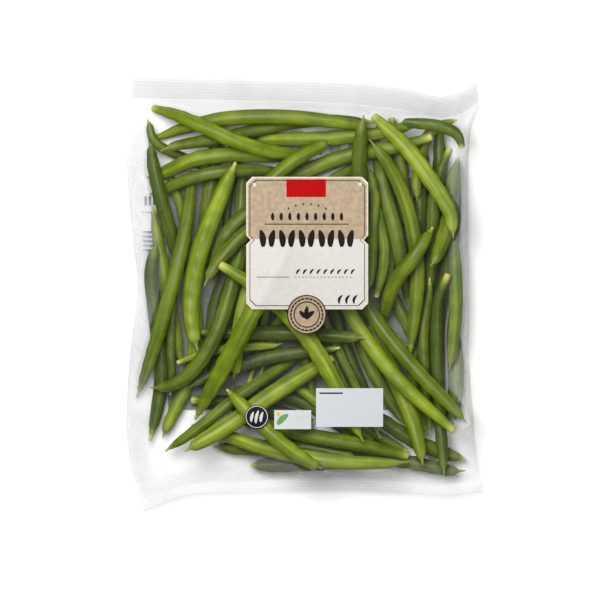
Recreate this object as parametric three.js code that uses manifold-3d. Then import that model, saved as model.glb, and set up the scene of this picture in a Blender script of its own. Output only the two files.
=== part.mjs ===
import * as THREE from "three";
import Module from "manifold-3d";
import { mergeVertices } from "three/addons/utils/BufferGeometryUtils.js";

// A pack of green beans in a clear pillow bag, lying on its back, in millimetres.
// +Y runs to the bag's top seal and +Z out of its front film. The beans come first, then how they
// settle on each other, then the film that is drawn over them.

// The bag: its film, its flat end seals, how high its seals and folded sides lie above the surface,
// and its four small vents.
const FILM = 0.8;
const SEAL = { bottom: 6.6, top: 12.5 };
const SEAL_HEIGHT = { bottom: 5, top: 5.5 };
const FOLD_HEIGHT = 12;
const SHEET_LENGTH = 236;
const VENT_RADIUS = 3;
const VENT_DEPTH = 3;
const VENTS = [[-48, 88], [48, 84], [-52, -84], [50, -80]];

// Room: between two beans, between a bean and the film, and between the beans and the bag's edges.
const CLEARANCE = 0.5;
const FILM_CLEARANCE = 0.9;
const SIDE_ROOM = 3.2;
const END_ROOM = 4.4;

// How high the film lets the pile stand: in the middle, and near its edge.
const CROWN = 35;
const SHOULDER = 15;

// One bean a row: its layer, from the back of the bag to the front, its width, and its centre line in
// plan from the stalk to the pointed tip.
const BEANS = [
  // beans against the back film
  [1, 9.9, [-50, 100], [-52, 72], [-56, 42], [-58, 6]],
  [1, 9.9, [-34, 74], [-36, 48], [-34, 20], [-30, -28]],
  [1, 9.9, [-51, -95], [-32, -95], [-2, -93], [32, -97]],
  [1, 9.9, [-32, -104], [-14, -104.5], [4, -105], [26, -106]],
  [1, 9.4, [90, 64], [87, 36], [82, 8], [76, -22], [74, -46]],
  [1, 9.4, [73, 95], [76, 82], [80, 62], [84, 24]],
  [1, 9.4, [-64, -59], [-50, -61], [-30, -66], [6, -78]],
  [1, 9.4, [92, -93], [78, -90], [60, -84], [34, -70]],
  [1, 8.8, [-85, 50], [-82, 28], [-78, 0], [-72, -42]],
  [1, 9.4, [-62, -18], [-40, -20], [-10, -22], [34, -28]],
  [1, 9.4, [76, -14], [84, -36], [89, -53], [91, -72]],
  // beans in the middle of the pile
  [2, 9.4, [-84, -84], [-81, -48], [-88, -12], [-93, 15], [-90, 29]],
  [2, 8.2, [88, 82], [83, 70], [79, 52], [78, 20], [75, -10]],
  [2, 8.2, [-10, 66], [-45, 68], [-66, 65], [-88, 57]],
  [2, 8.2, [38, 101], [-5, 100], [-45, 90.5], [-84, 83]],
  [2, 8.8, [20, -29], [-18, -35], [-44, -43], [-66, -53]],
  [2, 8.8, [87, 46], [89, 20], [89.5, -8], [86, -42]],
  [3, 9.4, [-5, 69], [-40, 75.5], [-62, 76], [-90, 68]],
  [3, 9.4, [-87, 89], [-52, 101.5], [-10, 105.5], [42, 102]],
  [3, 9.4, [-61, 1], [-61, -22], [-66, -47], [-83, -82]],
  [3, 8.8, [80, 79], [75, 68], [68, 45], [62, 14]],
  [3, 9.4, [-20, -70], [5, -77], [36, -91], [62, -100], [88, -109]],
  [3, 8.8, [26, -8], [34, -35], [46, -58], [57, -74]],
  [3, 9.4, [56, -104], [30, -94], [2, -85], [-38, -70]],
  [3, 9.4, [-62, -76], [-42, -84], [-20, -93], [10, -102], [59, -108]],
  [3, 7.7, [25, -83], [8, -70], [-12, -61], [-44, -58]],
  [4, 8.8, [49, 104], [56, 85], [62, 64], [66, 44]],
  [4, 9.9, [60, -8], [51, 35], [43, 62], [39, 87]],
  [4, 8.8, [66, 105], [48, 99], [20, 92], [-28, 85.5]],
  [4, 8.2, [-80, -85], [-62, -74], [-42, -60], [-20, -46], [0, -35]],
  [4, 8.8, [89, 7], [82, -8], [79, -35], [77, -75], [77, -107]],
  [4, 8.2, [14, 8], [18, -12], [25, -38], [36, -64]],
  [4, 7.7, [5, -5], [14, -25], [27, -53], [36, -72]],
  [4, 7.2, [57, -30], [61, -27], [56, -12], [48, 6]],
  [4, 9.4, [34, 80], [0, 56], [-36, 32], [-57, 4]],
  [4, 8.8, [0, 62], [-24, 54], [-44, 40], [-57, 12]],
  [4, 6.1, [61, -87], [48, -81], [36, -75], [14, -62]],
  // beans against the front film
  [5, 9.9, [67, -36], [69.5, 10], [65, 40], [54, 67], [39, 87]],
  [5, 9.9, [68, 100], [50, 91.5], [22, 82], [-22, 56]],
  [5, 10.5, [38, -18], [52, -50], [62, -76], [67, -98]],
  [5, 11.0, [12, -31], [-15, -53], [-42, -78], [-63, -95]],
  [5, 9.4, [-72, 8], [-79, 42], [-83, 68], [-84, 87]],
  [5, 8.8, [-28, 28], [-38, -4], [-42, -26], [-43, -48]],
  [5, 6.1, [43, 58], [48, 51], [43, 38], [40.5, 24], [38.5, 2]],
  [6, 9.4, [-91, -60], [-83, -34], [-74, 2], [-67, 36], [-64, 70]],
  [6, 9.4, [-84, 104], [-66, 98], [-42, 86], [-14, 77], [8, 75]],
  [6, 9.9, [46, 113], [60, 92], [71, 67], [76, 52], [75, 37]],
  [6, 9.9, [91, 74], [85, 60], [80, 42], [66, 16]],
  [6, 9.4, [75, 37], [64, 21], [52, 7], [43, -15]],
  [6, 9.9, [-42, -56], [-22, -79], [-6, -94], [9, -105]],
  [6, 9.4, [-28, 34], [-42, -10], [-52, -32], [-68, -49], [-86, -54.5]],
  [6, 7.7, [-6, -60], [-6, -42], [-5, -25], [-2, 6]],
  [6, 11.0, [-48, 17], [-31, 6], [-9, -13], [9, -38], [32, -86]],
  [6, 8.8, [-30, 46], [-22, 62], [-6, 77], [13, 88]],
  [7, 11.6, [-45, 77], [-55, 53], [-65, 24], [-69, -5], [-66, -31]],
  [7, 11.6, [-46, -77], [-37, -48], [-27, -15], [-13, 30]],
  [7, 9.9, [87, -76], [52, -47], [27, -16], [12, 12]],
  [7, 10.5, [24, 8], [36, -12], [62, -42], [95, -72]],
  [7, 11.0, [37, -6], [33.5, 40], [33, 75], [34.5, 103]],
];

// The girth of a bean along its length, as shares of its length and of half its width: the cut stalk,
// the cap where the pod starts, the pod, and the drawn-out tip.
const PROFILE = [
  [0, 0.2],
  [0.03, 0.24],
  [0.045, 0.45],
  [0.08, 0.76],
  [0.15, 0.95],
  [0.32, 1],
  [0.5, 1],
  [0.68, 1],
  [0.83, 0.94],
  [0.92, 0.7],
  [0.97, 0.34],
  [1, 0.12],
];
const BEAN_SIDES = 8;
const SLIMNESS = 0.985; // a bean's solid is a little thinner than the room that it settles with

function girth(share) {
  const next = Math.max(
    1,
    PROFILE.findIndex(([at]) => at >= share),
  );
  const [[a, from], [b, to]] = [PROFILE[next - 1], PROFILE[next]];
  return from + ((to - from) * (share - a)) / (b - a);
}

// The bag's outline in plan. Each edge is a smooth curve through a few points: the sides run from the
// bottom seal to the top seal, and the ends from left to right.
const OUTLINE = {
  left: [
    [-92, -124.5], [-98, -102], [-101.5, -78], [-99, -30],
    [-95, 3], [-98, 32], [-101.5, 80], [-99, 124.5],
  ],
  right: [
    [102, -113], [98.5, -95], [96.5, -72], [94, -40],
    [93.8, 10], [94.5, 90], [98.7, 108], [98, 121.5],
  ],
  bottom: [
    [-92, -124.5], [-66, -115.5], [-30, -114], [20, -112],
    [50, -113.2], [80, -115.5], [102, -113],
  ],
  top: [[-99, 124.5], [-50, 123], [20, 121], [52, 117.5], [78, 112.3], [90, 115.7], [98, 121.5]],
};
const EDGE = Object.fromEntries(
  Object.entries(OUTLINE).map(([side, points]) => [
    side,
    new THREE.CatmullRomCurve3(
      points.map(([x, y]) => new THREE.Vector3(x, y, 0)),
      false,
      "centripetal",
    ),
  ]),
);
// A point of the sheet, by its shares across and along, spread evenly between the four edges.
function onSheet(across, along) {
  const l = EDGE.left.getPointAt(along);
  const r = EDGE.right.getPointAt(along);
  const b = EDGE.bottom.getPointAt(across);
  const t = EDGE.top.getPointAt(across);
  const corner = (i, j) => EDGE[i ? "right" : "left"].getPointAt(j);
  const mix = (p, q, s) => p.clone().lerp(q, s);
  const bottom = mix(corner(0, 0), corner(1, 0), across);
  const top = mix(corner(0, 1), corner(1, 1), across);
  const corners = mix(bottom, top, along);
  return mix(l, r, across).add(mix(b, t, along)).sub(corners);
}

// Beans settle as stiff rods of balls. A pose moves the rod over the plan, turns it, lifts it, tilts it
// and bends it a little up or down.
const BALLS = 36;
const SAG_GIVE = 5;
const SLIDE_GIVE = 0.3; // a bean slides and turns over the plan less readily than it rises
const STEPS = [
  [300, 2, 1],
  [200, 0.6, 1],
  [160, 0.15, 1],
  [260, 0, 0],
]; // how many steps, the drop in each, and whether the film and the springs still pull
const STACK_PITCH = 9;
const ANCHOR = 0.965; // share of a sideways move that stays after each step
const SPRING_BACK = 0.985; // share of a bend that stays after each step
const CARRIER_SHARE = 0.5; // how far the lower bean of a touching pair gives way
const FLOOR = FILM + FILM_CLEARANCE;
const LID_PULL = 0.4;
const LID_STEP = 1; // the most that it presses a bean down in one step

function newBean([layer, width, ...plan], index) {
  const curve = new THREE.CatmullRomCurve3(
    plan.map(([x, y]) => new THREE.Vector3(x, y, 0)),
    false,
    "centripetal",
  );
  const points = curve.getSpacedPoints(BALLS - 1);
  const centre = points.reduce((sum, p) => sum.add(p), new THREE.Vector3()).divideScalar(BALLS);
  const bean = {
    layer,
    width,
    length: curve.getLength(),
    centre,
    home: points.map((p) => p.clone().sub(centre)),
    reach: points.map((p, k) => (girth(k / (BALLS - 1)) * width) / 2),
    balls: points.map(() => new Float64Array(3)),
    pose: { x: 0, y: 0, z: STACK_PITCH * (index + 1), turn: 0, tilt: 0, sag: 0 },
    low: new Float64Array(3),
    high: new Float64Array(3),
  };
  return place(bean);
}
const along = (k) => (2 * k) / (BALLS - 1) - 1;
const bow = (k) => along(k) ** 2 - 1 / 3;

function place(bean) {
  const { pose, centre, home, balls, low, high } = bean;
  low.fill(Infinity);
  high.fill(-Infinity);
  for (let k = 0; k < BALLS; k++) {
    const ball = balls[k];
    ball[0] = centre.x + pose.x + home[k].x - pose.turn * home[k].y;
    ball[1] = centre.y + pose.y + home[k].y + pose.turn * home[k].x;
    ball[2] = pose.z + pose.tilt * along(k) + pose.sag * bow(k);
    for (let a = 0; a < 3; a++) {
      low[a] = Math.min(low[a], ball[a] - bean.reach[k]);
      high[a] = Math.max(high[a], ball[a] + bean.reach[k]);
    }
  }
  return bean;
}

// How readily ball k of a bean moves along n, and the push that moves it.
function lever(bean, k, n) {
  const h = bean.home[k];
  return {
    turn: (h.x * n[1] - h.y * n[0]) * (12 / bean.length ** 2) * SLIDE_GIVE,
    arm: h.x * n[1] - h.y * n[0],
    tilt: 3 * along(k) * n[2],
    sag: SAG_GIVE * bow(k) * n[2],
  };
}
function give(bean, k, n) {
  const by = lever(bean, k, n);
  const move = SLIDE_GIVE * (n[0] ** 2 + n[1] ** 2) + n[2] ** 2;
  return move + by.turn * by.arm + by.tilt * along(k) * n[2] + by.sag * bow(k) * n[2];
}
function push(bean, k, n, amount) {
  const by = lever(bean, k, n);
  bean.pose.x += n[0] * amount * SLIDE_GIVE;
  bean.pose.y += n[1] * amount * SLIDE_GIVE;
  bean.pose.z += n[2] * amount;
  bean.pose.turn += by.turn * amount;
  bean.pose.tilt += by.tilt * amount;
  bean.pose.sag += by.sag * amount;
  place(bean);
}

// Parts two beans where they press deepest into each other.
function part(lower, upper) {
  for (let a = 0; a < 3; a++)
    if (lower.low[a] > upper.high[a] + CLEARANCE || upper.low[a] > lower.high[a] + CLEARANCE) return;
  let deepest = 0;
  let found = null;
  for (let i = 0; i < BALLS; i++)
    for (let j = 0; j < BALLS; j++) {
      const [p, q] = [lower.balls[i], upper.balls[j]];
      const reach = lower.reach[i] + upper.reach[j] + CLEARANCE;
      const square = (q[0] - p[0]) ** 2 + (q[1] - p[1]) ** 2 + (q[2] - p[2]) ** 2;
      if (square >= reach * reach) continue;
      const depth = reach - Math.sqrt(square);
      if (depth > deepest) {
        deepest = depth;
        found = [i, j, reach - depth];
      }
    }
  if (!found) return;
  const [i, j, distance] = found;
  const n = [0, 1, 2].map((a) => (upper.balls[j][a] - lower.balls[i][a]) / Math.max(distance, 1e-6));
  const amount = deepest / (CARRIER_SHARE * give(lower, i, n) + give(upper, j, n));
  push(upper, j, n, amount);
  push(lower, i, n, -CARRIER_SHARE * amount);
}

// Keeps a bean above the back film, inside the seals and sides, and under the pull of the front film.
const edgePoints = Object.fromEntries(
  Object.entries(EDGE).map(([side, curve]) => [side, curve.getSpacedPoints(60)]),
);
function edgeAt(side, value) {
  const [by, to] = side === "left" || side === "right" ? ["y", "x"] : ["x", "y"];
  const points = edgePoints[side];
  const found = points.findIndex((p) => p[by] >= value);
  const next = found < 0 ? points.length - 1 : Math.max(1, found);
  const [p, q] = [points[next - 1], points[next]];
  return p[to] + ((q[to] - p[to]) * (value - p[by])) / (q[by] - p[by]);
}
function lid(x, y) {
  const fall = Math.max(0, 1 - Math.abs(x / 95) ** 3) * Math.max(0, 1 - Math.abs(y / 106) ** 3);
  const fromSide = Math.min(x - edgeAt("left", y), edgeAt("right", y) - x);
  const [low, high] = [edgeAt("bottom", x) + SEAL.bottom, edgeAt("top", x) - SEAL.top];
  const fromEnd = Math.min(y - low, high - y);
  const slope = Math.min(SEAL_HEIGHT.bottom + 1.2 * fromEnd, FOLD_HEIGHT + 1.5 * fromSide);
  return Math.min(SHOULDER + (CROWN - SHOULDER) * fall, slope);
}
const WAYS = [
  { n: [0, 0, 1], past: (b, r) => FLOOR - (b[2] - r) },
  { n: [1, 0, 0], past: (b, r) => edgeAt("left", b[1]) + SIDE_ROOM - (b[0] - r) },
  { n: [-1, 0, 0], past: (b, r) => b[0] + r - (edgeAt("right", b[1]) - SIDE_ROOM) },
  { n: [0, 1, 0], past: (b, r) => edgeAt("bottom", b[0]) + SEAL.bottom + END_ROOM - (b[1] - r) },
  { n: [0, -1, 0], past: (b, r) => b[1] + r - (edgeAt("top", b[0]) - SEAL.top - END_ROOM) },
  { n: [0, 0, -1], past: (b, r) => Math.min(LID_STEP, (b[2] + r - lid(b[0], b[1])) * LID_PULL) },
];
function hold(bean, pulled) {
  for (const { n, past } of pulled ? WAYS : WAYS.slice(0, -1)) {
    let worst = 0;
    let at = -1;
    for (let k = 0; k < BALLS; k++) {
      const depth = past(bean.balls[k], bean.reach[k]);
      if (depth > worst) {
        worst = depth;
        at = k;
      }
    }
    if (at >= 0) push(bean, at, n, worst / give(bean, at, n));
  }
}

function settle(rows) {
  const beans = [...rows].sort((a, b) => a[0] - b[0]).map(newBean);
  for (const [steps, drop, pulled] of STEPS)
    for (let step = 0; step < steps; step++) {
      for (const bean of pulled ? beans : []) {
        bean.pose.z -= drop;
        bean.pose.x *= ANCHOR;
        bean.pose.y *= ANCHOR;
        bean.pose.turn *= ANCHOR;
        bean.pose.sag *= SPRING_BACK;
        place(bean);
      }
      for (let u = 0; u < beans.length; u++) {
        for (let l = 0; l < u; l++) part(beans[l], beans[u]);
        hold(beans[u], pulled);
      }
    }
  return beans;
}

// A bean's mesh: rings round its settled centre line, closed by a point at the stalk and one at the tip.
function beanGeometry(bean) {
  const line = new THREE.CatmullRomCurve3(
    bean.balls.map((b) => new THREE.Vector3(...b)),
    false,
    "centripetal",
  );
  const vertices = [];
  const up = new THREE.Vector3(0, 0, 1);
  for (const [share, size] of PROFILE) {
    const at = line.getPointAt(share);
    const ahead = line.getTangentAt(share);
    const side = new THREE.Vector3().crossVectors(ahead, up).normalize();
    const top = new THREE.Vector3().crossVectors(side, ahead);
    for (let k = 0; k < BEAN_SIDES; k++) {
      const angle = (k / BEAN_SIDES) * 2 * Math.PI;
      const reach = (size * bean.width * SLIMNESS) / 2;
      const p = at
        .clone()
        .addScaledVector(side, reach * Math.cos(angle))
        .addScaledVector(top, reach * Math.sin(angle));
      vertices.push(p);
    }
  }
  const faces = [];
  const ring = (r, k) => r * BEAN_SIDES + (k % BEAN_SIDES);
  for (let r = 0; r + 1 < PROFILE.length; r++)
    for (let k = 0; k < BEAN_SIDES; k++)
      faces.push(
        [ring(r, k), ring(r + 1, k), ring(r, k + 1)],
        [ring(r, k + 1), ring(r + 1, k), ring(r + 1, k + 1)],
      );
  const last = PROFILE.length - 1;
  const ends = [line.getPointAt(0), line.getPointAt(1)];
  const [stalk, tip] = [vertices.push(ends[0]) - 1, vertices.push(ends[1]) - 1];
  for (let k = 0; k < BEAN_SIDES; k++)
    faces.push([stalk, ring(0, k), ring(0, k + 1)], [tip, ring(last, k + 1), ring(last, k)]);
  return indexed(vertices, faces);
}

function indexed(vertices, faces) {
  const geometry = new THREE.BufferGeometry().setFromPoints(vertices);
  geometry.setIndex(faces.flat());
  return geometry;
}

// The bag is two sheets that meet along the outline. Seen from above, each is a grid that is drawn
// tight over or under the beans, and both lie together in the end seals.
const ACROSS = 26;
const ALONG = 30;
const SEAL_ROWS = { bottom: 2, top: 2 };
const DRAW_STEPS = 300;
const HOLD_STEPS = 60;
const TIGHTEN_STEPS = 120;
const TOUCH_SIDES = 12;

const shareAcross = (i) => (1 - Math.cos((Math.PI * i) / ACROSS)) / 2;
function shareAlong(j) {
  const [low, high] = [SEAL.bottom / SHEET_LENGTH, 1 - SEAL.top / SHEET_LENGTH];
  if (j < SEAL_ROWS.bottom) return (low * j) / SEAL_ROWS.bottom;
  if (j > ALONG - SEAL_ROWS.top) return 1 - ((1 - high) * (ALONG - j)) / SEAL_ROWS.top;
  const share = (j - SEAL_ROWS.bottom) / (ALONG - SEAL_ROWS.bottom - SEAL_ROWS.top);
  const eased = share + (0.35 * Math.sin(-2 * Math.PI * share)) / (2 * Math.PI);
  return low + (high - low) * eased;
}
function rimHeight(across, lengthways) {
  const inner = Math.sin(Math.PI * lengthways) ** 0.5;
  const end = lengthways < 0.5 ? SEAL_HEIGHT.bottom : SEAL_HEIGHT.top;
  const wave = 1.4 * Math.sin(2 * Math.PI * across * 1.5);
  return end + (FOLD_HEIGHT - end) * inner + wave * (1 - inner);
}

// The two triangles of a cell share its diagonal, which turns from one cell to the next.
function cellTriangles(i, j) {
  const at = (u, v) => v * (ACROSS + 1) + u;
  const [a, b, c, d] = [at(i, j), at(i + 1, j), at(i + 1, j + 1), at(i, j + 1)];
  return (i + j) % 2 ? [[a, b, c], [a, c, d]] : [[a, b, d], [b, c, d]];
}
// The triangle of the plan that a point lies over, with the weights of its corners.
function under(grid, x, y) {
  for (let j = 0; j < ALONG; j++)
    for (let i = 0; i < ACROSS; i++) {
      const first = grid[j * (ACROSS + 1) + i].at;
      if (Math.abs(first.y - y) > 24 || Math.abs(first.x - x) > 28) continue;
      for (const corners of cellTriangles(i, j)) {
        const [p, q, r] = corners.map((c) => grid[c].at);
        const whole = (q.x - p.x) * (r.y - p.y) - (r.x - p.x) * (q.y - p.y);
        const second = ((x - p.x) * (r.y - p.y) - (r.x - p.x) * (y - p.y)) / whole;
        const third = ((q.x - p.x) * (y - p.y) - (x - p.x) * (q.y - p.y)) / whole;
        const weights = [1 - second - third, second, third];
        if (Math.min(...weights) >= -1e-9) return { corners, weights };
      }
    }
  return null;
}

function sheets(beans) {
  const grid = [];
  for (let j = 0; j <= ALONG; j++)
    for (let i = 0; i <= ACROSS; i++) {
      const [across, lengthways] = [shareAcross(i), shareAlong(j)];
      const free = i > 0 && i < ACROSS && j > SEAL_ROWS.bottom && j < ALONG - SEAL_ROWS.top;
      const rim = rimHeight(across, lengthways);
      grid.push({ at: onSheet(across, lengthways), free, front: rim, back: rim });
    }
  const touches = [];
  for (const bean of beans)
    for (let k = 0; k < BALLS; k++) {
      const [x, y, z] = bean.balls[k];
      const reach = bean.reach[k] + FILM_CLEARANCE;
      const next = bean.balls[Math.min(k + 1, BALLS - 1)];
      const last = bean.balls[Math.max(k - 1, 0)];
      const ahead = Math.hypot(next[0] - last[0], next[1] - last[1]);
      const side = [-(next[1] - last[1]) / ahead, (next[0] - last[0]) / ahead];
      for (let a = 0; a < TOUCH_SIDES; a++) {
        const angle = ((a + 0.5) / TOUCH_SIDES) * 2 * Math.PI;
        const out = reach * Math.cos(angle);
        const found = under(grid, x + side[0] * out, y + side[1] * out);
        if (found) touches.push({ ...found, z: z + reach * Math.sin(angle) });
      }
    }
  const row = ACROSS + 1;
  for (let step = 0; step < DRAW_STEPS + HOLD_STEPS; step++) {
    if (step < DRAW_STEPS)
      grid.forEach((point, at) => {
        if (!point.free) return;
        const beside = [grid[at - 1], grid[at + 1], grid[at - row], grid[at + row]];
        const mean = (key) => beside.reduce((sum, p) => sum + p[key], 0) / 4;
        point.front = mean("front");
        point.back = Math.max(FILM, mean("back"));
      });
    for (const { corners, weights, z } of touches)
      for (const [key, sign] of [["front", 1], ["back", -1]]) {
        let short = sign * z;
        let grip = 0;
        corners.forEach((corner, c) => {
          short -= sign * grid[corner][key] * weights[c];
          if (grid[corner].free) grip += weights[c] ** 2;
        });
        if (short <= 0 || grip < 0.02) continue;
        corners.forEach((corner, c) => {
          const point = grid[corner];
          if (point.free) point[key] += (sign * short * weights[c]) / grip;
          if (point.free && key === "back") point.back = Math.max(FILM, point.back);
        });
      }
  }
  tighten(grid, touches);
  return grid;
}

// Draws each free point of the film in towards its neighbours, as far as the beans behind it allow.
function tighten(grid, touches) {
  const row = ACROSS + 1;
  const behind = grid.map(() => []);
  for (const touch of touches)
    touch.corners.forEach((corner, c) => {
      if (touch.weights[c] > 0.01) behind[corner].push([touch, c]);
    });
  for (let step = 0; step < TIGHTEN_STEPS; step++)
    for (const [key, sign] of [["front", 1], ["back", -1]])
      grid.forEach((point, at) => {
        if (!point.free) return;
        const beside = [grid[at - 1], grid[at + 1], grid[at - row], grid[at + row]];
        let limit = (sign * beside.reduce((sum, p) => sum + p[key], 0)) / 4;
        for (const [{ corners, weights, z }, own] of behind[at]) {
          let rest = sign * z;
          corners.forEach((corner, c) => {
            if (c !== own) rest -= sign * grid[corner][key] * weights[c];
          });
          limit = Math.max(limit, rest / weights[own]);
        }
        point[key] = sign * Math.min(sign * point[key], limit);
        if (key === "back") point.back = Math.max(FILM, point.back);
      });
}

// A closed grid solid between two heights of the same plan points; where they meet they share a vertex.
function between(grid, rows, columns, high, low) {
  const faces = [];
  const vertices = [];
  const [tops, bottoms] = [new Map(), new Map()];
  const at = (i, j) => j * (ACROSS + 1) + i;
  for (let j = rows[0]; j <= rows[1]; j++)
    for (let i = columns[0]; i <= columns[1]; i++) {
      const point = grid[at(i, j)];
      tops.set(at(i, j), vertices.push(new THREE.Vector3(point.at.x, point.at.y, high(point))) - 1);
      bottoms.set(at(i, j), vertices.push(new THREE.Vector3(point.at.x, point.at.y, low(point))) - 1);
    }
  for (let j = rows[0]; j < rows[1]; j++)
    for (let i = columns[0]; i < columns[1]; i++) {
      for (const [p, q, r] of cellTriangles(i, j)) {
        faces.push([tops.get(p), tops.get(q), tops.get(r)]);
        faces.push([bottoms.get(p), bottoms.get(r), bottoms.get(q)]);
      }
    }
  const wall = (p, q) => {
    faces.push([bottoms.get(p), bottoms.get(q), tops.get(q)], [bottoms.get(p), tops.get(q), tops.get(p)]);
  };
  for (let i = columns[0]; i < columns[1]; i++) {
    wall(at(i, rows[0]), at(i + 1, rows[0]));
    wall(at(i + 1, rows[1]), at(i, rows[1]));
  }
  for (let j = rows[0]; j < rows[1]; j++) {
    wall(at(columns[1], j), at(columns[1], j + 1));
    wall(at(columns[0], j + 1), at(columns[0], j));
  }
  return indexed(vertices, faces);
}

const wasm = await Module();
wasm.setup();
function solid(geometry) {
  const bare = new THREE.BufferGeometry();
  bare.setAttribute("position", geometry.getAttribute("position"));
  bare.setIndex(geometry.index);
  const merged = mergeVertices(bare, 1e-4);
  const corners = merged.index.array;
  const kept = [];
  for (let f = 0; f < corners.length; f += 3) {
    const [a, b, c] = corners.subarray(f, f + 3);
    if (a !== b && b !== c && c !== a) kept.push(a, b, c);
  }
  return new wasm.Manifold(
    new wasm.Mesh({
      numProp: 3,
      vertProperties: new Float32Array(merged.attributes.position.array),
      triVerts: new Uint32Array(kept),
    }),
  );
}
function geometryOf(made) {
  const mesh = made.getMesh();
  const geometry = new THREE.BufferGeometry();
  geometry.setAttribute("position", new THREE.BufferAttribute(mesh.vertProperties, 3));
  geometry.setIndex(new THREE.BufferAttribute(mesh.triVerts, 1));
  return geometry;
}

// Small round vents through the back film, near the ends of the bag, let the beans breathe.
const VENT_SIDES = 12;
function filmGeometry(beans) {
  const grid = sheets(beans);
  const rows = [0, ALONG];
  const columns = [0, ACROSS];
  const outer = solid(between(grid, rows, columns, (p) => p.front + FILM, (p) => p.back - FILM));
  const inner = solid(
    between(
      grid,
      [SEAL_ROWS.bottom, ALONG - SEAL_ROWS.top],
      [1, ACROSS - 1],
      (p) => p.front,
      (p) => p.back,
    ),
  );
  let film = outer.subtract(inner);
  for (const [x, y] of VENTS) {
    const punch = new THREE.CylinderGeometry(VENT_RADIUS, VENT_RADIUS, 2 * VENT_DEPTH, VENT_SIDES);
    punch.rotateX(Math.PI / 2).translate(x, y, 0);
    film = film.subtract(solid(punch));
  }
  return geometryOf(film);
}

const beans = settle(BEANS);
const podMaterial = new THREE.MeshStandardMaterial({ color: "#6f9a2b", roughness: 0.45, metalness: 0 });
const filmMaterial = new THREE.MeshStandardMaterial({
  color: "#f2f4f3",
  roughness: 0.12,
  metalness: 0,
  transparent: true,
  opacity: 0.3,
});

const pack = new THREE.Group();
beans.forEach((bean, index) => {
  const mesh = new THREE.Mesh(beanGeometry(bean), podMaterial);
  mesh.name = `bean_${String(index + 1).padStart(2, "0")}`;
  pack.add(mesh);
});
const bag = new THREE.Mesh(filmGeometry(beans), filmMaterial);
bag.name = "film_bag";
pack.add(bag);

// The origin is on the surface the bag lies on, under the middle of its outline.
const box = new THREE.Box3().setFromObject(pack);
pack.position.set(-(box.min.x + box.max.x) / 2, -(box.min.y + box.max.y) / 2, -box.min.z);

export default pack;
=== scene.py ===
"""A clear pillow bag of green beans lying on its back, seen from straight above."""

import math
import random

import bmesh
import bpy
import numpy as np
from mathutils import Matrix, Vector, noise
from mathutils.bvhtree import BVHTree
from mathutils.geometry import delaunay_2d_cdt


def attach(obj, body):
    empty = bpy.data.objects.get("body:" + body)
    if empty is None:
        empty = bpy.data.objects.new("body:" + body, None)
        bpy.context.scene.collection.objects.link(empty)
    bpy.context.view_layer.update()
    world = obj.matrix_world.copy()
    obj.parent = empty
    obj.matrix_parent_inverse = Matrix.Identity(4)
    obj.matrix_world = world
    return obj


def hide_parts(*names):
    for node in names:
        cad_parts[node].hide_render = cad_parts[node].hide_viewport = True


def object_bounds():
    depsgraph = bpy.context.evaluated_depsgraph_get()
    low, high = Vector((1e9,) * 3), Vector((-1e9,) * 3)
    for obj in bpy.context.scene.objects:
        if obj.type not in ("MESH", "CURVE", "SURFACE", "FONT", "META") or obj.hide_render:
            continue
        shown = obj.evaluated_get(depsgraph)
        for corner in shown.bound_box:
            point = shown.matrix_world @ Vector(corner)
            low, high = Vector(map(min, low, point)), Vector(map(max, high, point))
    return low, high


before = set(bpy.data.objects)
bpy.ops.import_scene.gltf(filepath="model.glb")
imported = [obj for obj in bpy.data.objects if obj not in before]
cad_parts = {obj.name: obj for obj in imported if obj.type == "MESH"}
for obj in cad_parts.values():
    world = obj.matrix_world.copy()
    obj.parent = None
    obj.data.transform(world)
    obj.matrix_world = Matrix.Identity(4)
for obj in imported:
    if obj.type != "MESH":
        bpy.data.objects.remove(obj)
cad_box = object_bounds()

# Camera, floor and light: a white sweep under two large soft lamps, seen from straight above.

MM = 0.001
MM_PER_PIXEL = 0.57
PICTURE_SIDE = 600
PHOTO_CENTRE = (305.0, 293.5)  # the pixel over the middle of the bag
view = bpy.data.cameras.new("camera")
view.type = "ORTHO"
view.ortho_scale = PICTURE_SIDE * MM_PER_PIXEL * MM
camera = bpy.data.objects.new("camera", view)
camera.location = (
    -(PHOTO_CENTRE[0] - PICTURE_SIDE / 2) * MM_PER_PIXEL * MM,
    (PHOTO_CENTRE[1] - PICTURE_SIDE / 2) * MM_PER_PIXEL * MM,
    1.2,
)
bpy.context.collection.objects.link(camera)
bpy.context.scene.camera = camera
bpy.context.scene.view_settings.view_transform = "Standard"

world = bpy.data.worlds.new("studio")
world.use_nodes = True
world.node_tree.nodes["Background"].inputs["Color"].default_value = (1, 1, 1, 1)
world.node_tree.nodes["Background"].inputs["Strength"].default_value = 0.18
bpy.context.scene.world = world

for name, place, size, power in (
    ("key", (-0.21, 0.33, 1.0), 0.6, 12.0),
    ("fill", (0.34, -0.3, 1.0), 0.9, 2.9),
):
    lamp = bpy.data.lights.new(name, "AREA")
    lamp.size = size
    lamp.energy = power
    light = bpy.data.objects.new(name, lamp)
    light.location = place
    light.rotation_euler = (-Vector(place)).to_track_quat("-Z", "Y").to_euler()
    bpy.context.collection.objects.link(light)

floor_mesh = bpy.data.meshes.new("floor")
floor_mesh.from_pydata(
    [(x, y, -0.0002) for x, y in ((-3, -3), (3, -3), (3, 3), (-3, 3))], [], [(0, 1, 2, 3)]
)
floor = bpy.data.objects.new("floor", floor_mesh)
bpy.context.collection.objects.link(floor)
floor_paint = bpy.data.materials.new("white floor")
floor_paint.use_nodes = True
floor_tree = floor_paint.node_tree
floor_shader = floor_tree.nodes["Principled BSDF"]
floor_shader.inputs["Roughness"].default_value = 0.9
floor_shader.inputs["Specular IOR Level"].default_value = 0.0
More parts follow.
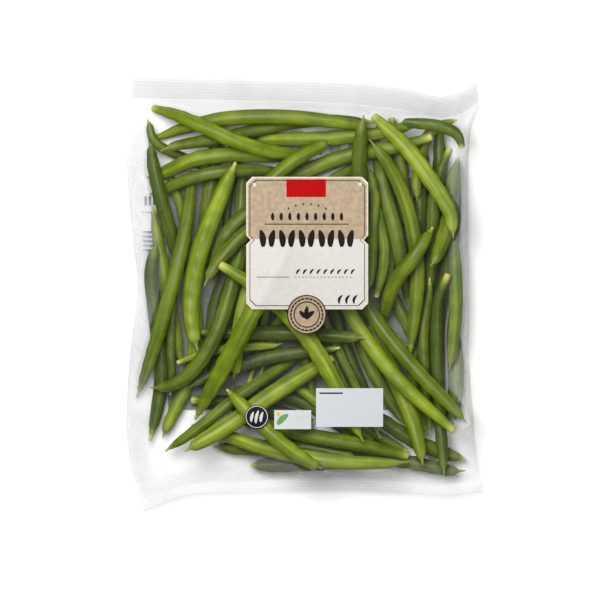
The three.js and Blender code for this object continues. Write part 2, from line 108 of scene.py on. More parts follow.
# white as the camera sees it, and duller for the light that it throws back up into the pile
seen = floor_tree.nodes.new("ShaderNodeLightPath")
floor_colour = floor_tree.nodes.new("ShaderNodeMix")
floor_colour.data_type = "RGBA"
floor_colour.inputs[6].default_value = (0.3, 0.3, 0.3, 1)
floor_colour.inputs[7].default_value = (1, 1, 1, 1)
floor_tree.links.new(seen.outputs["Is Camera Ray"], floor_colour.inputs[0])
floor_tree.links.new(floor_colour.outputs[2], floor_shader.inputs["Base Color"])
floor_mesh.materials.append(floor_paint)

# Beans: whole green pods, fleshy and a little flat, with a stalk or a pale cut at one end, a cap
# where the pod starts, two seams along it and seeds that swell it in a row. Each one follows the
# centre line of its solid.

POD_SIDES = 18
POD_RINGS = 96
SEED_PITCH = 9.5 * MM
STALK = 0.05  # the stalk's share of a pod's length
LONG_STALKS = {"bean_44": 0.42}  # this one's stalk is long and curled
# girth along the pod, as shares of its length and of half its width: with a stalk, and cut short
POD_GIRTH = (
    (0.0, 0.15), (0.004, 0.2), (0.022, 0.21), (0.034, 0.27), (0.041, 0.40), (0.047, 0.42),
    (0.054, 0.38), (0.075, 0.5), (0.12, 0.68), (0.2, 0.86), (0.32, 0.98), (0.5, 1.0), (0.66, 0.97),
    (0.79, 0.9), (0.87, 0.78), (0.915, 0.66), (0.945, 0.5), (0.96, 0.3), (0.972, 0.15), (1.0, 0.06),
)
CUT_GIRTH = (
    (0.0, 0.3), (0.003, 0.46), (0.012, 0.5), (0.04, 0.56), (0.09, 0.68), (0.16, 0.83), (0.28, 0.96),
)


def new_node(tree, kind, inputs=None, **settings):
    node = tree.nodes.new(kind)
    for key, value in settings.items():
        setattr(node, key, value)
    for key, value in (inputs or {}).items():
        if isinstance(value, bpy.types.NodeSocket):
            tree.links.new(value, node.inputs[key])
        else:
            node.inputs[key].default_value = value
    return node


def sums(tree, operation, *values):
    return new_node(
        tree, "ShaderNodeMath", dict(enumerate(values)), operation=operation
    ).outputs[0]


def grow_pods_tree():
    """Swells a plain pod over its seeds, sinks its two seams and ridges it lengthways."""
    tree = bpy.data.node_groups.new("pod relief", "GeometryNodeTree")
    face = tree.interface
    face.new_socket("Geometry", in_out="INPUT", socket_type="NodeSocketGeometry")
    for label, value in (
        ("Seeds", 10.0),
        ("Swell", 0.05),
        ("Seam", 0.08),
        ("Flatness", 0.08),
        ("Ridges", 0.02),
    ):
        face.new_socket(label, in_out="INPUT", socket_type="NodeSocketFloat").default_value = value
    face.new_socket("Skin", in_out="INPUT", socket_type="NodeSocketMaterial")
    face.new_socket("Geometry", in_out="OUTPUT", socket_type="NodeSocketGeometry")
    given = tree.nodes.new("NodeGroupInput").outputs

    def named(label, kind="FLOAT"):
        return new_node(
            tree, "GeometryNodeInputNamedAttribute", {"Name": label}, data_type=kind
        ).outputs["Attribute"]

    along = named("along")
    turn = named("turn")
    reach = named("reach")
    outward = named("outward", "FLOAT_VECTOR")
    across = sums(tree, "COSINE", turn)
    side = sums(tree, "MULTIPLY", across, across)
    beat = sums(tree, "MULTIPLY", given["Seeds"], math.tau)
    seeds = sums(tree, "SINE", sums(tree, "MULTIPLY", along, beat))
    inside = sums(tree, "MULTIPLY", along, sums(tree, "SUBTRACT", 1.0, along))
    swell = sums(tree, "MULTIPLY", sums(tree, "MULTIPLY", seeds, given["Swell"]), side)
    inner = sums(tree, "MINIMUM", 1.0, sums(tree, "MULTIPLY", inside, 9.0))
    swell = sums(tree, "MULTIPLY", swell, inner)
    seam = sums(tree, "EXPONENT", sums(tree, "MULTIPLY", side, -38.0))
    seam = sums(tree, "MULTIPLY", seam, given["Seam"])
    thin = sums(tree, "MULTIPLY", side, given["Flatness"])
    wander = sums(tree, "MULTIPLY", sums(tree, "SINE", sums(tree, "MULTIPLY", along, 9.0)), 0.7)
    ridge = sums(tree, "COSINE", sums(tree, "ADD", sums(tree, "MULTIPLY", turn, 5.0), wander))
    ridge = sums(tree, "MULTIPLY", sums(tree, "SUBTRACT", ridge, 1.0), given["Ridges"])
    amount = sums(tree, "SUBTRACT", sums(tree, "SUBTRACT", swell, seam), thin)
    amount = sums(tree, "ADD", amount, ridge)
    offset = new_node(
        tree,
        "ShaderNodeVectorMath",
        {0: outward, "Scale": sums(tree, "MULTIPLY", amount, reach)},
        operation="SCALE",
    ).outputs[0]
    moved = new_node(
        tree, "GeometryNodeSetPosition", {"Geometry": given["Geometry"], "Offset": offset}
    ).outputs[0]
    real = new_node(tree, "GeometryNodeRealizeInstances", {"Geometry": moved}).outputs[0]
    skinned = new_node(
        tree, "GeometryNodeSetMaterial", {"Geometry": real, "Material": given["Skin"]}
    ).outputs[0]
    tree.links.new(skinned, tree.nodes.new("NodeGroupOutput").inputs[0])
    return tree


def skin_of_pods():
    """Satin green skin, yellow at the stalk, fuzzy and pale towards the tip."""
    paint = bpy.data.materials.new("green pod")
    paint.use_nodes = True
    tree = paint.node_tree
    shader = tree.nodes["Principled BSDF"]

    def named(label):
        return new_node(tree, "ShaderNodeAttribute", attribute_name=label)

    def ramp(value, *stops):
        node = new_node(tree, "ShaderNodeValToRGB", {"Fac": value})
        bands = node.color_ramp.elements
        while len(bands) < len(stops):
            bands.new(0.5)
        for band, (at, colour) in zip(bands, stops):
            band.position = at
            band.color = (*colour, 1)
        return node.outputs["Color"]

    def blend(share, first, second, how="MIX"):
        return new_node(
            tree, "ShaderNodeMix", {0: share, 6: first, 7: second}, data_type="RGBA", blend_type=how
        ).outputs[2]

    place = new_node(tree, "ShaderNodeTexCoord").outputs["Object"]
    along = named("along").outputs["Fac"]
    hue = named("hue").outputs["Fac"]
    # the pod's tone: lay_pod draws it darker for pods that lie low in the pile, as painted shade
    body = ramp(
        hue,
        (0.0, (0.05, 0.078, 0.002)),
        (0.35, (0.108, 0.158, 0.003)),
        (0.7, (0.2, 0.275, 0.006)),
        (1.0, (0.33, 0.41, 0.04)),
    )
    cloud = new_node(tree, "ShaderNodeTexNoise", {"Vector": place, "Scale": 70.0, "Detail": 4.0})
    patch = ramp(cloud.outputs["Fac"], (0.38, (0.72, 0.78, 0.6)), (0.62, (1.18, 1.14, 1.2)))
    body = blend(1.0, body, patch, "MULTIPLY")
    turn = named("turn").outputs["Fac"]
    onward = sums(tree, "ADD", sums(tree, "MULTIPLY", along, 1.6), sums(tree, "MULTIPLY", hue, 31.0))
    lengthways = new_node(
        tree,
        "ShaderNodeCombineXYZ",
        {"X": sums(tree, "COSINE", turn), "Y": sums(tree, "SINE", turn), "Z": onward},
    ).outputs[0]
    streak = new_node(tree, "ShaderNodeTexNoise", {"Vector": lengthways, "Scale": 2.6, "Detail": 4.0})
    stripe = ramp(
        streak.outputs["Fac"],
        (0.34, (0.7, 0.76, 0.6)),
        (0.5, (1, 1, 1)),
        (0.68, (1.25, 1.17, 1.5)),
    )
    body = blend(1.0, body, stripe, "MULTIPLY")
    fleck = new_node(tree, "ShaderNodeTexNoise", {"Vector": place, "Scale": 900.0, "Detail": 2.0})
    fleck_share = ramp(fleck.outputs["Fac"], (0.62, (0, 0, 0)), (0.74, (0.5, 0.5, 0.5)))
    body = blend(fleck_share, body, (0.24, 0.33, 0.06, 1))
    seam = named("seam").outputs["Fac"]
    body = blend(sums(tree, "MULTIPLY", seam, 0.45), body, (0.03, 0.075, 0.01, 1))
    stalk = ramp(
        along,
        (0.0, (0.58, 0.5, 0.16)),
        (0.012, (0.5, 0.48, 0.1)),
        (0.05, (0.24, 0.32, 0.03)),
        (0.075, (0.14, 0.24, 0.01)),
    )
    stalk_share = ramp(along, (0.02, (1, 1, 1)), (0.085, (0, 0, 0)))
    body = blend(stalk_share, body, stalk)
    tip_share = ramp(along, (0.9, (0, 0, 0)), (0.965, (0.55, 0.55, 0.55)), (1.0, (1, 1, 1)))
    body = blend(tip_share, body, (0.26, 0.31, 0.07, 1))
    tree.links.new(body, shader.inputs["Base Color"])
    rough = ramp(cloud.outputs["Fac"], (0.3, (0.34, 0.34, 0.34)), (0.7, (0.5, 0.5, 0.5)))
    tree.links.new(rough, shader.inputs["Roughness"])
    grain = new_node(tree, "ShaderNodeTexNoise", {"Vector": place, "Scale": 1400.0, "Detail": 2.0})
    bump = new_node(
        tree, "ShaderNodeBump", {"Height": grain.outputs["Fac"], "Strength": 0.25, "Distance": 0.0004}
    )
    tree.links.new(bump.outputs[0], shader.inputs["Normal"])
    shader.inputs["Specular IOR Level"].default_value = 0.3
    return paint


def rings_of(node):
    """A bean solid's rings, from the stalk to the tip: their middles and how far they reach."""
    solid = bmesh.new()
    solid.from_mesh(node.data)
    bmesh.ops.remove_doubles(solid, verts=solid.verts, dist=2e-6)
    poles = [v for v in solid.verts if len(v.link_edges) == 8]
    layers = [{poles[0]}]
    seen = {poles[0]}
    while True:
        reached = {e.other_vert(v) for v in layers[-1] for e in v.link_edges} - seen
        if not reached:
            break
        layers.append(reached)
        seen |= reached
    rings = []
    for layer in layers:
        spots = [np.array(v.co) for v in layer]
        middle = sum(spots) / len(spots)
        rings.append((middle, sum(np.linalg.norm(p - middle) for p in spots) / len(spots)))
    solid.free()
    return rings if rings[1][1] > rings[-2][1] else rings[::-1]


def smooth_line(points, count):
    """Evenly spaced points on a smooth curve through the given ones."""
    points = np.array(points)
    gaps = np.sqrt(np.linalg.norm(np.diff(points, axis=0), axis=1)) + 1e-9
    knots = np.concatenate([[0], np.cumsum(gaps)])
    slopes = np.gradient(points, knots, axis=0)
    fine = []
    for k in range(len(points) - 1):
        width = knots[k + 1] - knots[k]
        for step in np.linspace(0, 1, 24, endpoint=False):
            a, b = 2 * step**3 - 3 * step**2 + 1, step**3 - 2 * step**2 + step
            c, d = -2 * step**3 + 3 * step**2, step**3 - step**2
            fine.append(
                a * points[k] + b * width * slopes[k] + c * points[k + 1] + d * width * slopes[k + 1]
            )
    fine = np.array(fine + [points[-1]])
    run = np.concatenate([[0], np.cumsum(np.linalg.norm(np.diff(fine, axis=0), axis=1))])
    even = np.linspace(0, run[-1], count)
    return np.stack([np.interp(even, run, fine[:, a]) for a in range(3)], axis=1), run[-1]


def smooth_rings(rings):
    """The solid's rings with finer ones between them."""
    finer = []
    for (a, ra), (b, rb) in zip(rings, rings[1:]):
        for step in np.linspace(0, 1, 8, endpoint=False):
            finer.append((a + (b - a) * step, ra + (rb - ra) * step))
    return finer


def plain_pod(name, line, width, roll, hue, girth, stalk):
    """A smooth closed tube round the centre line, with what its relief and its skin read."""
    shares = np.linspace(0, 1, POD_RINGS)
    # rings crowd at the stalk and at the tip, where the girth changes most
    shares = shares - 0.75 * np.sin(math.tau * shares) / math.tau
    stages = np.interp(shares, (0, stalk, 1), (0, STALK, 1))
    girths = np.interp(stages, [g[0] for g in girth], [g[1] for g in girth])
    index = shares * (len(line) - 1)
    middles = np.stack([np.interp(index, range(len(line)), line[:, a]) for a in range(3)], axis=1)
    ahead = np.gradient(middles, axis=0)
    ahead /= np.linalg.norm(ahead, axis=1)[:, None]
    vertices, along, turn, outward, reach = [], [], [], [], []
    for k in range(POD_RINGS):
        side = np.cross(ahead[k], (0, 0, 1))
        side /= np.linalg.norm(side)
        top = np.cross(side, ahead[k])
        for s in range(POD_SIDES):
            angle = math.tau * s / POD_SIDES
            out = side * math.cos(angle) + top * math.sin(angle)
            size = girths[k] * width / 2
            vertices.append(middles[k] + out * size)
            along.append(stages[k])
            turn.append(angle + roll)
            outward.append(out)
            reach.append(size)
    for k, end in ((0, -1), (POD_RINGS - 1, 1)):
        vertices.append(middles[k] + ahead[k] * end * 0.0002)
        along.append(stages[k])
        turn.append(math.pi / 4)
        outward.append(ahead[k] * end)
        reach.append(0.0)
    faces = []
    for k in range(POD_RINGS - 1):
        for s in range(POD_SIDES):
            a, b = k * POD_SIDES + s, k * POD_SIDES + (s + 1) % POD_SIDES
            faces.append((a, a + POD_SIDES, b + POD_SIDES, b))
    stalk, tip, last = len(vertices) - 2, len(vertices) - 1, (POD_RINGS - 1) * POD_SIDES
    for s in range(POD_SIDES):
        t = (s + 1) % POD_SIDES
        faces += [(stalk, s, t), (tip, last + t, last + s)]
    mesh = bpy.data.meshes.new(name)
    mesh.from_pydata([tuple(v) for v in vertices], [], faces)
    seam = [math.exp(-30 * math.cos(t) ** 2) if r else 0.0 for t, r in zip(turn, reach)]
    for label, kind, key, values in (
        ("along", "FLOAT", "value", along),
        ("turn", "FLOAT", "value", turn),
        ("reach", "FLOAT", "value", reach),
        ("seam", "FLOAT", "value", seam),
        ("hue", "FLOAT", "value", [hue] * len(vertices)),
        ("outward", "FLOAT_VECTOR", "vector", np.array(outward).ravel()),
    ):
        mesh.attributes.new(label, kind, "POINT").data.foreach_set(key, values)
    return mesh


def made_plain(thing, name):
    """The evaluated object as a plain mesh object that carries no modifier."""
    bpy.context.view_layer.update()
    shown = thing.evaluated_get(bpy.context.evaluated_depsgraph_get())
    done = bpy.data.meshes.new_from_object(shown)
    done.name = name
    bpy.data.objects.remove(thing)
    plain = bpy.data.objects.new(name, done)
    bpy.context.collection.objects.link(plain)
    return plain


HOOK_FROM = 0.9
MIDDLE_HEIGHT = 0.022
HUE = (0.52, 0.19)  # the middle and the spread of the pods' hues
# painted shade: the lower a pod lies in the pile, the darker its colour is drawn, for the shade deep
# in the pile
DEPTH_SHADE_PER_METRE = 11  # pods that lie higher in the pile are paler
CUT_SHARE = 0.42  # how many of the pods are cut short
draw = random.Random(41)
hooks = random.Random(7)
pod_relief = grow_pods_tree()
pod_skin = skin_of_pods()
relief_input = {
    item.name: item.identifier
    for item in pod_relief.interface.items_tree
    if item.in_out == "INPUT"
}
pod_balls = []  # balls along every pod, which the others keep clear of
film_balls = []  # the same for the film, which is drawn over the full girth of a solid


def hooked(line):
    """The line with its last part curled a little to one side, as the tips of beans are."""
    ahead = np.gradient(line, axis=0)
    side = np.cross(ahead, (0, 0, 1))
    side /= np.linalg.norm(side, axis=1)[:, None]
    past = np.clip(np.linspace(-HOOK_FROM, 1 - HOOK_FROM, len(line)) / (1 - HOOK_FROM), 0, 1)
    return line + side * (hooks.uniform(-2.2, 2.2) * MM * past**2)[:, None]


def lay_pod(name, line, length, width, stalk=STALK):
    """Grows one finished pod round its centre line."""
    line = hooked(line)
    depth = line[:, 2].mean() - MIDDLE_HEIGHT
    # painted shade: the pod's tone is drawn darker the lower it lies in the pile
    hue = min(1.0, max(0.0, draw.gauss(*HUE) + DEPTH_SHADE_PER_METRE * depth))
    roll = draw.uniform(-0.7, 0.7) + (math.pi / 2 if draw.random() < 0.35 else 0)
    taper = draw.uniform(0.6, 1.15)
    girth = [(at, size**taper if 0.07 < at < 0.95 else size) for at, size in POD_GIRTH]
    if draw.random() < CUT_SHARE and stalk == STALK:
        girth = list(CUT_GIRTH) + [spot for spot in girth if spot[0] > CUT_GIRTH[-1][0]]
    raw = bpy.data.objects.new(name, plain_pod(name, line, width, roll, hue, girth, stalk))
    bpy.context.collection.objects.link(raw)
    relief = raw.modifiers.new("relief", "NODES")
    relief.node_group = pod_relief
    relief[relief_input["Seeds"]] = length / SEED_PITCH
    relief[relief_input["Swell"]] = draw.uniform(0.02, 0.065)
    relief[relief_input["Seam"]] = draw.uniform(0.05, 0.13)
    relief[relief_input["Flatness"]] = draw.uniform(0.0, 0.12)
    relief[relief_input["Ridges"]] = draw.uniform(0.008, 0.035)
    relief[relief_input["Skin"]] = pod_skin
    pod = made_plain(raw, name)
    for polygon in pod.data.polygons:
        polygon.use_smooth = True
    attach(pod, "root")
    stages = np.interp(np.linspace(0, 1, len(line)), (0, stalk, 1), (0, STALK, 1))
    girths = np.interp(stages, [g[0] for g in girth], [g[1] for g in girth])
    balls = [(*p, g * width / 2) for p, g in zip(line[::2], girths[::2])]
    pod_balls.extend(balls)
    return balls


for name in sorted(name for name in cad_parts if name.startswith("bean_")):
    rings = rings_of(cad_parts[name])
    line, length = smooth_line([middle for middle, _ in rings], 120)
    girth_there = 2 * max(reach for _, reach in rings)
    lay_pod("pod_" + name[-2:], line, length, girth_there, LONG_STALKS.get(name, STALK))
    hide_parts(name)
    film_balls.extend((*middle, reach) for middle, reach in smooth_rings(rings))

# The pack holds more beans than have a solid of their own. More lie low in the pile, each slid and
# bent until it hardly touches its neighbours. Many are tried at once in a grid of how much room
# there is, and the one that would show most through the gaps is laid first.
MORE_PODS = 34  # at most
TRIES = 2500
BATCHES = 10
LEAST_SEEN = 0.00006
EMPTY_CORNER = -0.15  # the pile stops short of the bag's lower left corner, where x + y is less
CELL = 1.5 * MM
FAR = 9 * MM
POD_ROOM = 0.3 * MM
MOST_PRESSED = 0.2 * MM
PATH_POINTS = 25
SHARPEST_BEND = 0.24  # the most that a path turns at one point, in radians
MOST_BEND = 2.2  # and over the whole of it
MOST_ON_TOP = 6  # points of a path that may lie over another pod
PILE_SIDE = 0.0905
PILE_ENDS = (-0.094, 0.100)
PILE_BED = 1.2 * MM  # how high over the floor the back film leaves the lowest pods
chance = np.random.RandomState(12)
grid_origin = np.array([-0.1035, -0.1245, 0.0])
grid_size = np.array([139, 167, 36])
grid_lines = [grid_origin[a] + CELL * np.arange(grid_size[a]) for a in range(3)]
room = np.full(grid_size, FAR)
covered = np.zeros(grid_size[:2], bool)
tops = np.zeros(grid_size[:2])


def take_room(balls):
    """Marks a pod in the grid of room, in the plan that it covers and in the plan's heights."""
    for x, y, z, reach in balls:
        middle = np.array((x, y, z))
        first = np.maximum(0, ((middle - reach - FAR - grid_origin) / CELL).astype(int))
        last = ((middle + reach + FAR - grid_origin) / CELL).astype(int) + 1
        part = tuple(slice(a, b) for a, b in zip(first, last))
        gap_x, gap_y, gap_z = (line[span] - at for line, span, at in zip(grid_lines, part, middle))
        flat = gap_x[:, None] ** 2 + gap_y**2
        room[part] = np.minimum(room[part], np.sqrt(flat[:, :, None] + gap_z**2) - reach)
        under = flat < reach**2
        covered[part[:2]] |= under
        heights = tops[part[:2]]
        heights[under] = np.maximum(heights[under], z)


def room_at(points):
    """The room at each point and which way it grows, read between the grid's cells."""
    spots = np.clip((points - grid_origin) / CELL, 0, grid_size - 1.001)
    base = spots.astype(int)
    high = spots - base
    low = 1 - high
    total = np.zeros(points.shape[:-1])
    slope = np.zeros(points.shape)
    for step in np.ndindex(2, 2, 2):
        value = room[tuple(base[..., a] + step[a] for a in range(3))]
        share = [high[..., a] if step[a] else low[..., a] for a in range(3)]
        total += value * share[0] * share[1] * share[2]
        slope[..., 0] += value * (2 * step[0] - 1) * share[1] * share[2]
        slope[..., 1] += value * (2 * step[1] - 1) * share[0] * share[2]
        slope[..., 2] += value * (2 * step[2] - 1) * share[0] * share[1]
    return total, slope / CELL


def settle(paths, reach, spacing, steps, stiffness):
    """Slides and bends every tried pod towards where there is room for it."""
    for _ in range(steps):
        total, slope = room_at(paths)
        press = np.clip(reach + POD_ROOM - total, 0, 1.5 * MM)
        paths += slope * press[..., None] * 0.8
        paths[:, 1:-1] += stiffness * (paths[:, :-2] + paths[:, 2:] - 2 * paths[:, 1:-1])
        link = np.diff(paths, axis=1)
        stretch = link * (1 - spacing[:, None] / np.linalg.norm(link, axis=2))[..., None] * 0.3
        paths[:, :-1] += stretch
        paths[:, 1:] -= stretch
        paths[..., 0] = np.clip(paths[..., 0], reach - PILE_SIDE, PILE_SIDE - reach)
        paths[..., 1] = np.clip(paths[..., 1], reach + PILE_ENDS[0], PILE_ENDS[1] - reach)
        paths[..., 2] = np.maximum(paths[..., 2] - 0.03 * MM, reach + PILE_BED)


take_room(pod_balls)
share = np.linspace(-0.5, 0.5, PATH_POINTS)
thickness = np.interp(share + 0.5, [g[0] for g in POD_GIRTH], [g[1] for g in POD_GIRTH])
laid = 0
for _ in range(BATCHES):
    # each batch starts from places that no bean covers yet
    open_cells = np.argwhere(~covered[12:-12, 24:-19]) + (12, 24)
    picked = open_cells[chance.randint(0, len(open_cells), TRIES)]
    heading = chance.uniform(0, math.pi, TRIES)
    lengths = chance.uniform(0.05, 0.105, TRIES)
    bows = chance.uniform(-0.009, 0.009, TRIES)
    widths = chance.uniform(0.0056, 0.0086, TRIES)
    past = chance.uniform(-0.4, 0.4, TRIES)
    forward = np.stack([np.cos(heading), np.sin(heading)], 1)
    sideways = np.stack([-forward[:, 1], forward[:, 0]], 1)
    arc = 4 * share**2 - 1 / 3
    paths = np.empty((TRIES, PATH_POINTS, 3))
    paths[..., :2] = (
        (picked * CELL + grid_origin[:2])[:, None]
        + forward[:, None] * ((share - past[:, None]) * lengths[:, None])[..., None]
        + sideways[:, None] * (arc * bows[:, None])[..., None]
    )
    paths[..., 2] = chance.uniform(0.0055, 0.026, TRIES)[:, None]
    half = widths[:, None] / 2 * np.maximum(thickness, 0.3)
    spacing = lengths / (PATH_POINTS - 1)
    settle(paths, half, spacing, 45, 0.2)
    while laid < MORE_PODS:
        settle(paths, half, spacing, 10, 0.05)
        pressed = (half + POD_ROOM - room_at(paths)[0]).max(1)
        turns = np.diff(paths, axis=1)
        turns = turns / np.linalg.norm(turns, axis=2)[..., None]
        bends = np.linalg.norm(turns[:, 1:] - turns[:, :-1], axis=2)
        straight = (bends.max(1) < SHARPEST_BEND) & (bends.sum(1) < MOST_BEND)
        in_pile = (paths[..., 0] + paths[..., 1]).min(1) > EMPTY_CORNER
        cells = ((paths[..., :2] - grid_origin[:2]) / CELL + 0.5).astype(int)
        hidden = covered[cells[..., 0], cells[..., 1]]
        on_top = hidden & (paths[..., 2] > tops[cells[..., 0], cells[..., 1]] + 2 * MM)
        fits = (pressed < MOST_PRESSED) & straight & in_pile & (on_top.sum(1) <= MOST_ON_TOP)
        score = np.where(fits, (~hidden).sum(1) * spacing * widths, 0.0)
        best = int(np.argmax(score))
        if score[best] < LEAST_SEEN:
            break
        laid += 1
        whole = list(paths[best] if chance.rand() < 0.5 else paths[best][::-1])
        line, length = smooth_line(whole, 120)
        placed = lay_pod(f"pod_low_{laid:02d}", line, length, widths[best])
        film_balls.extend(placed)
        take_room(placed)
        kept = pressed < 2 * MM
        kept[best] = False
        paths, half, spacing, widths = paths[kept], half[kept], spacing[kept], widths[kept]

# Film bag: one thin clear plastic film, sealed flat across both ends with ribbed jaws and folded
# round the sides. It is drawn tight over the pile, and stands off round it, where it looks milky.

ACROSS = 150
ALONG = 190
SEAL = {"bottom": 6.6 * MM, "top": 12.5 * MM}
SEAL_ROWS = {"bottom": 8, "top": 12}
SHEET_LENGTH = 0.236
SHEET_MM = (195, 236)  # the sheet across its middle and along it, for what depends on its edges
EDGE_MARGIN_MM = {"bottom": 6.6, "top": 6.5}  # how much of each end isn't counted
FOLD_HEIGHT = 12 * MM
SEAL_HEIGHT = {"bottom": 5 * MM, "top": 5.5 * MM}
FILM_GAP = 1.4 * MM
FILM_CREASE = 0.9 * MM
RIM_WAVE = 1.4 * MM
RIM_LIFT = 0.4 * MM
LOOSE = (2 * MM, 16 * MM)  # how far off the pile the film starts to look loose, and over how much
MILKY = (5 * MM, 11 * MM)  # how far from the edge it is milkiest, and over how much this fades
VENT_RADIUS = 3 * MM
VENTS = ((-48, 88), (48, 84), (-52, -84), (50, -80))
LEAST_GAP = 0.15 * MM  # between the two sheets, and under the back one
PRINTED_ZONES = ((-34, -24, 37, 67), (-35, -78, 45, -53))  # where the film is free of creases
EDGE_POINTS = 400
OUTLINE = {
    "left": (
        (-92, -124.5), (-98, -102), (-101.5, -78), (-99, -30),
        (-95, 3), (-98, 32), (-101.5, 80), (-99, 124.5),
    ),
    "right": (
        (102, -113), (98.5, -95), (96.5, -72), (94, -40),
        (93.8, 10), (94.5, 90), (98.7, 108), (98, 121.5),
    ),
    "bottom": (
        (-92, -124.5), (-66, -115.5), (-30, -114), (20, -112),
        (50, -113.2), (80, -115.5), (102, -113),
    ),
    "top": (
        (-99, 124.5), (-50, 123), (20, 121), (52, 117.5), (78, 112.3), (90, 115.7), (98, 121.5),
    ),
}
edge_lines = {
    side: smooth_line([(x * MM, y * MM, 0) for x, y in points], EDGE_POINTS)[0]
    for side, points in OUTLINE.items()
}


def on_edge(side, share):
    at = share * (EDGE_POINTS - 1)
    marks = range(EDGE_POINTS)
    return np.stack([np.interp(at, marks, edge_lines[side][:, a]) for a in range(2)], axis=-1)


low, high = SEAL["bottom"] / SHEET_LENGTH, 1 - SEAL["top"] / SHEET_LENGTH
inner_rows = ALONG - SEAL_ROWS["bottom"] - SEAL_ROWS["top"]
middle_shares = np.linspace(0, 1, inner_rows + 1)
middle_shares = middle_shares - 0.35 * np.sin(math.tau * middle_shares) / math.tau
share_along = np.concatenate(
    [
        np.linspace(0, low, SEAL_ROWS["bottom"], endpoint=False),
        low + (high - low) * middle_shares,
        np.linspace(high, 1, SEAL_ROWS["top"] + 1)[1:],
    ]
)
share_across = (1 - np.cos(math.pi * np.linspace(0, 1, ACROSS + 1))) / 2
U, V = np.meshgrid(share_across, share_along)
u, v = U[..., None], V[..., None]
corner = {(i, j): on_edge("right" if i else "left", np.float64(j)) for i in (0, 1) for j in (0, 1)}
corners = (corner[0, 0] * (1 - u) + corner[1, 0] * u) * (1 - v) + (
    corner[0, 1] * (1 - u) + corner[1, 1] * u
) * v
plan = (
    on_edge("left", V) * (1 - u)
    + on_edge("right", V) * u
    + on_edge("bottom", U) * (1 - v)
    + on_edge("top", U) * v
    - corners
)
# a hair narrower than the solid, so that no part of the skin stands out of it
X, Y = plan[..., 0] * 0.9996, plan[..., 1] * 0.9996
shift = [(cad_box[0][a] + cad_box[1][a]) / 2 for a in (0, 1)]
X = X + (shift[0] - (X.min() + X.max()) / 2)
Y = Y + (shift[1] - (Y.min() + Y.max()) / 2)

end_height = np.where(V < 0.5, SEAL_HEIGHT["bottom"], SEAL_HEIGHT["top"])
bulge = np.sqrt(np.clip(np.sin(math.pi * V), 0, 1))
rim = end_height + (FOLD_HEIGHT - end_height) * bulge
rim = rim + RIM_WAVE * np.sin(math.tau * U * 1.5) * (1 - bulge)
rim = rim + RIM_LIFT

over = np.full(X.shape, -1.0)
beneath = np.full(X.shape, 1.0)
for px, py, pz, reach in film_balls:
    gap = reach + FILM_GAP
    near = (X - px) ** 2 + (Y - py) ** 2
    hit = near < gap * gap
    lift = np.sqrt(gap * gap - near[hit])
    over[hit] = np.maximum(over[hit], pz + lift)
    beneath[hit] = np.minimum(beneath[hit], pz - lift)

free = np.zeros(X.shape, bool)
free[SEAL_ROWS["bottom"] + 1 : ALONG - SEAL_ROWS["top"], 1:ACROSS] = True
front, back = rim.copy(), rim.copy()
ceiling = cad_box[1][2] - 0.3 * MM
# coarse passes first, so that the sheet is drawn over the whole pile, then fine ones
for stride, steps in ((8, 700), (4, 500), (2, 400), (1, 300)):
    for sheet, sign in ((front, 1), (back, -1)):
        for _ in range(steps):
            spread = sheet.copy()
            mean = (
                np.roll(sheet, stride, 0) + np.roll(sheet, -stride, 0)
                + np.roll(sheet, stride, 1) + np.roll(sheet, -stride, 1)
            ) / 4
            inside = free.copy()
            inside[:stride] = inside[-stride:] = False
            inside[:, :stride] = inside[:, -stride:] = False
            spread[inside] = mean[inside]
            if sign > 0:
                spread = np.where(free, np.maximum(spread, over), spread)
            else:
                spread = np.where(free, np.minimum(spread, beneath), spread)
                spread = np.maximum(spread, LEAST_GAP)
            sheet[:] = spread
front = np.minimum(front, ceiling)

stand_off = np.clip(front - np.maximum(over, 0.4 * MM), 0, 1)
loose = np.clip((stand_off - LOOSE[0]) / LOOSE[1], 0, 1)
past_bottom = V * SHEET_MM[1] - EDGE_MARGIN_MM["bottom"]
past_top = (1 - V) * SHEET_MM[1] - EDGE_MARGIN_MM["top"]
from_end = np.minimum(past_bottom, past_top)
from_edge = np.minimum(np.minimum(U, 1 - U) * SHEET_MM[0], from_end) * MM
edge_milk = np.clip(1 - (from_edge - MILKY[0]) / MILKY[1], 0, 1)
crease = np.zeros(X.shape)
milk = np.zeros(X.shape)
for j in range(ALONG + 1):
    for i in range(ACROSS + 1):
        spot = Vector((X[j, i] * 26, Y[j, i] * 26, 3.1))
        warp = noise.noise_vector(spot * 0.8) * 0.55
        fold = 1 - abs(noise.noise(spot + warp)) * 2
        small = 1 - abs(noise.noise((spot + warp) * 3.3)) * 2
        crease[j, i] = 0.75 * max(0.0, fold) ** 3 + 0.35 * max(0.0, small) ** 3
        milk[j, i] = 0.5 + 0.5 * noise.noise(spot * 0.6 + Vector((7, 3, 1)))
for x0, y0, x1, y1 in PRINTED_ZONES:
    outside = np.maximum(np.maximum(x0 * MM - X, X - x1 * MM), np.maximum(y0 * MM - Y, Y - y1 * MM))
    crease = crease * np.clip(outside / (4 * MM), 0, 1)
rim_fade = np.clip(np.minimum(U, 1 - U) * 18, 0, 1)
front = np.minimum(front + FILM_CREASE * crease * loose * rim_fade, ceiling)
# milky where the film stands off the pile and near its edges; the crease term whitens the creases,
# partly the film's own whitening there and partly painted glints
haze_and_glints = 0.002 + 0.008 * loose + 0.34 * edge_milk * loose * (0.6 + 0.8 * milk)
haze_and_glints = haze_and_glints + 0.16 * crease * loose * edge_milk + 0.03 * edge_milk


def new_look(label, inputs, outputs):
    """An empty shader group with its named sockets."""
    tree = bpy.data.node_groups.new(label, "ShaderNodeTree")
    for direction, sockets in (("INPUT", inputs), ("OUTPUT", outputs)):
        for socket, kind in sockets:
            tree.interface.new_socket(socket, in_out=direction, socket_type=f"NodeSocket{kind}")
    return tree, tree.nodes.new("NodeGroupInput").outputs, tree.nodes.new("NodeGroupOutput").inputs


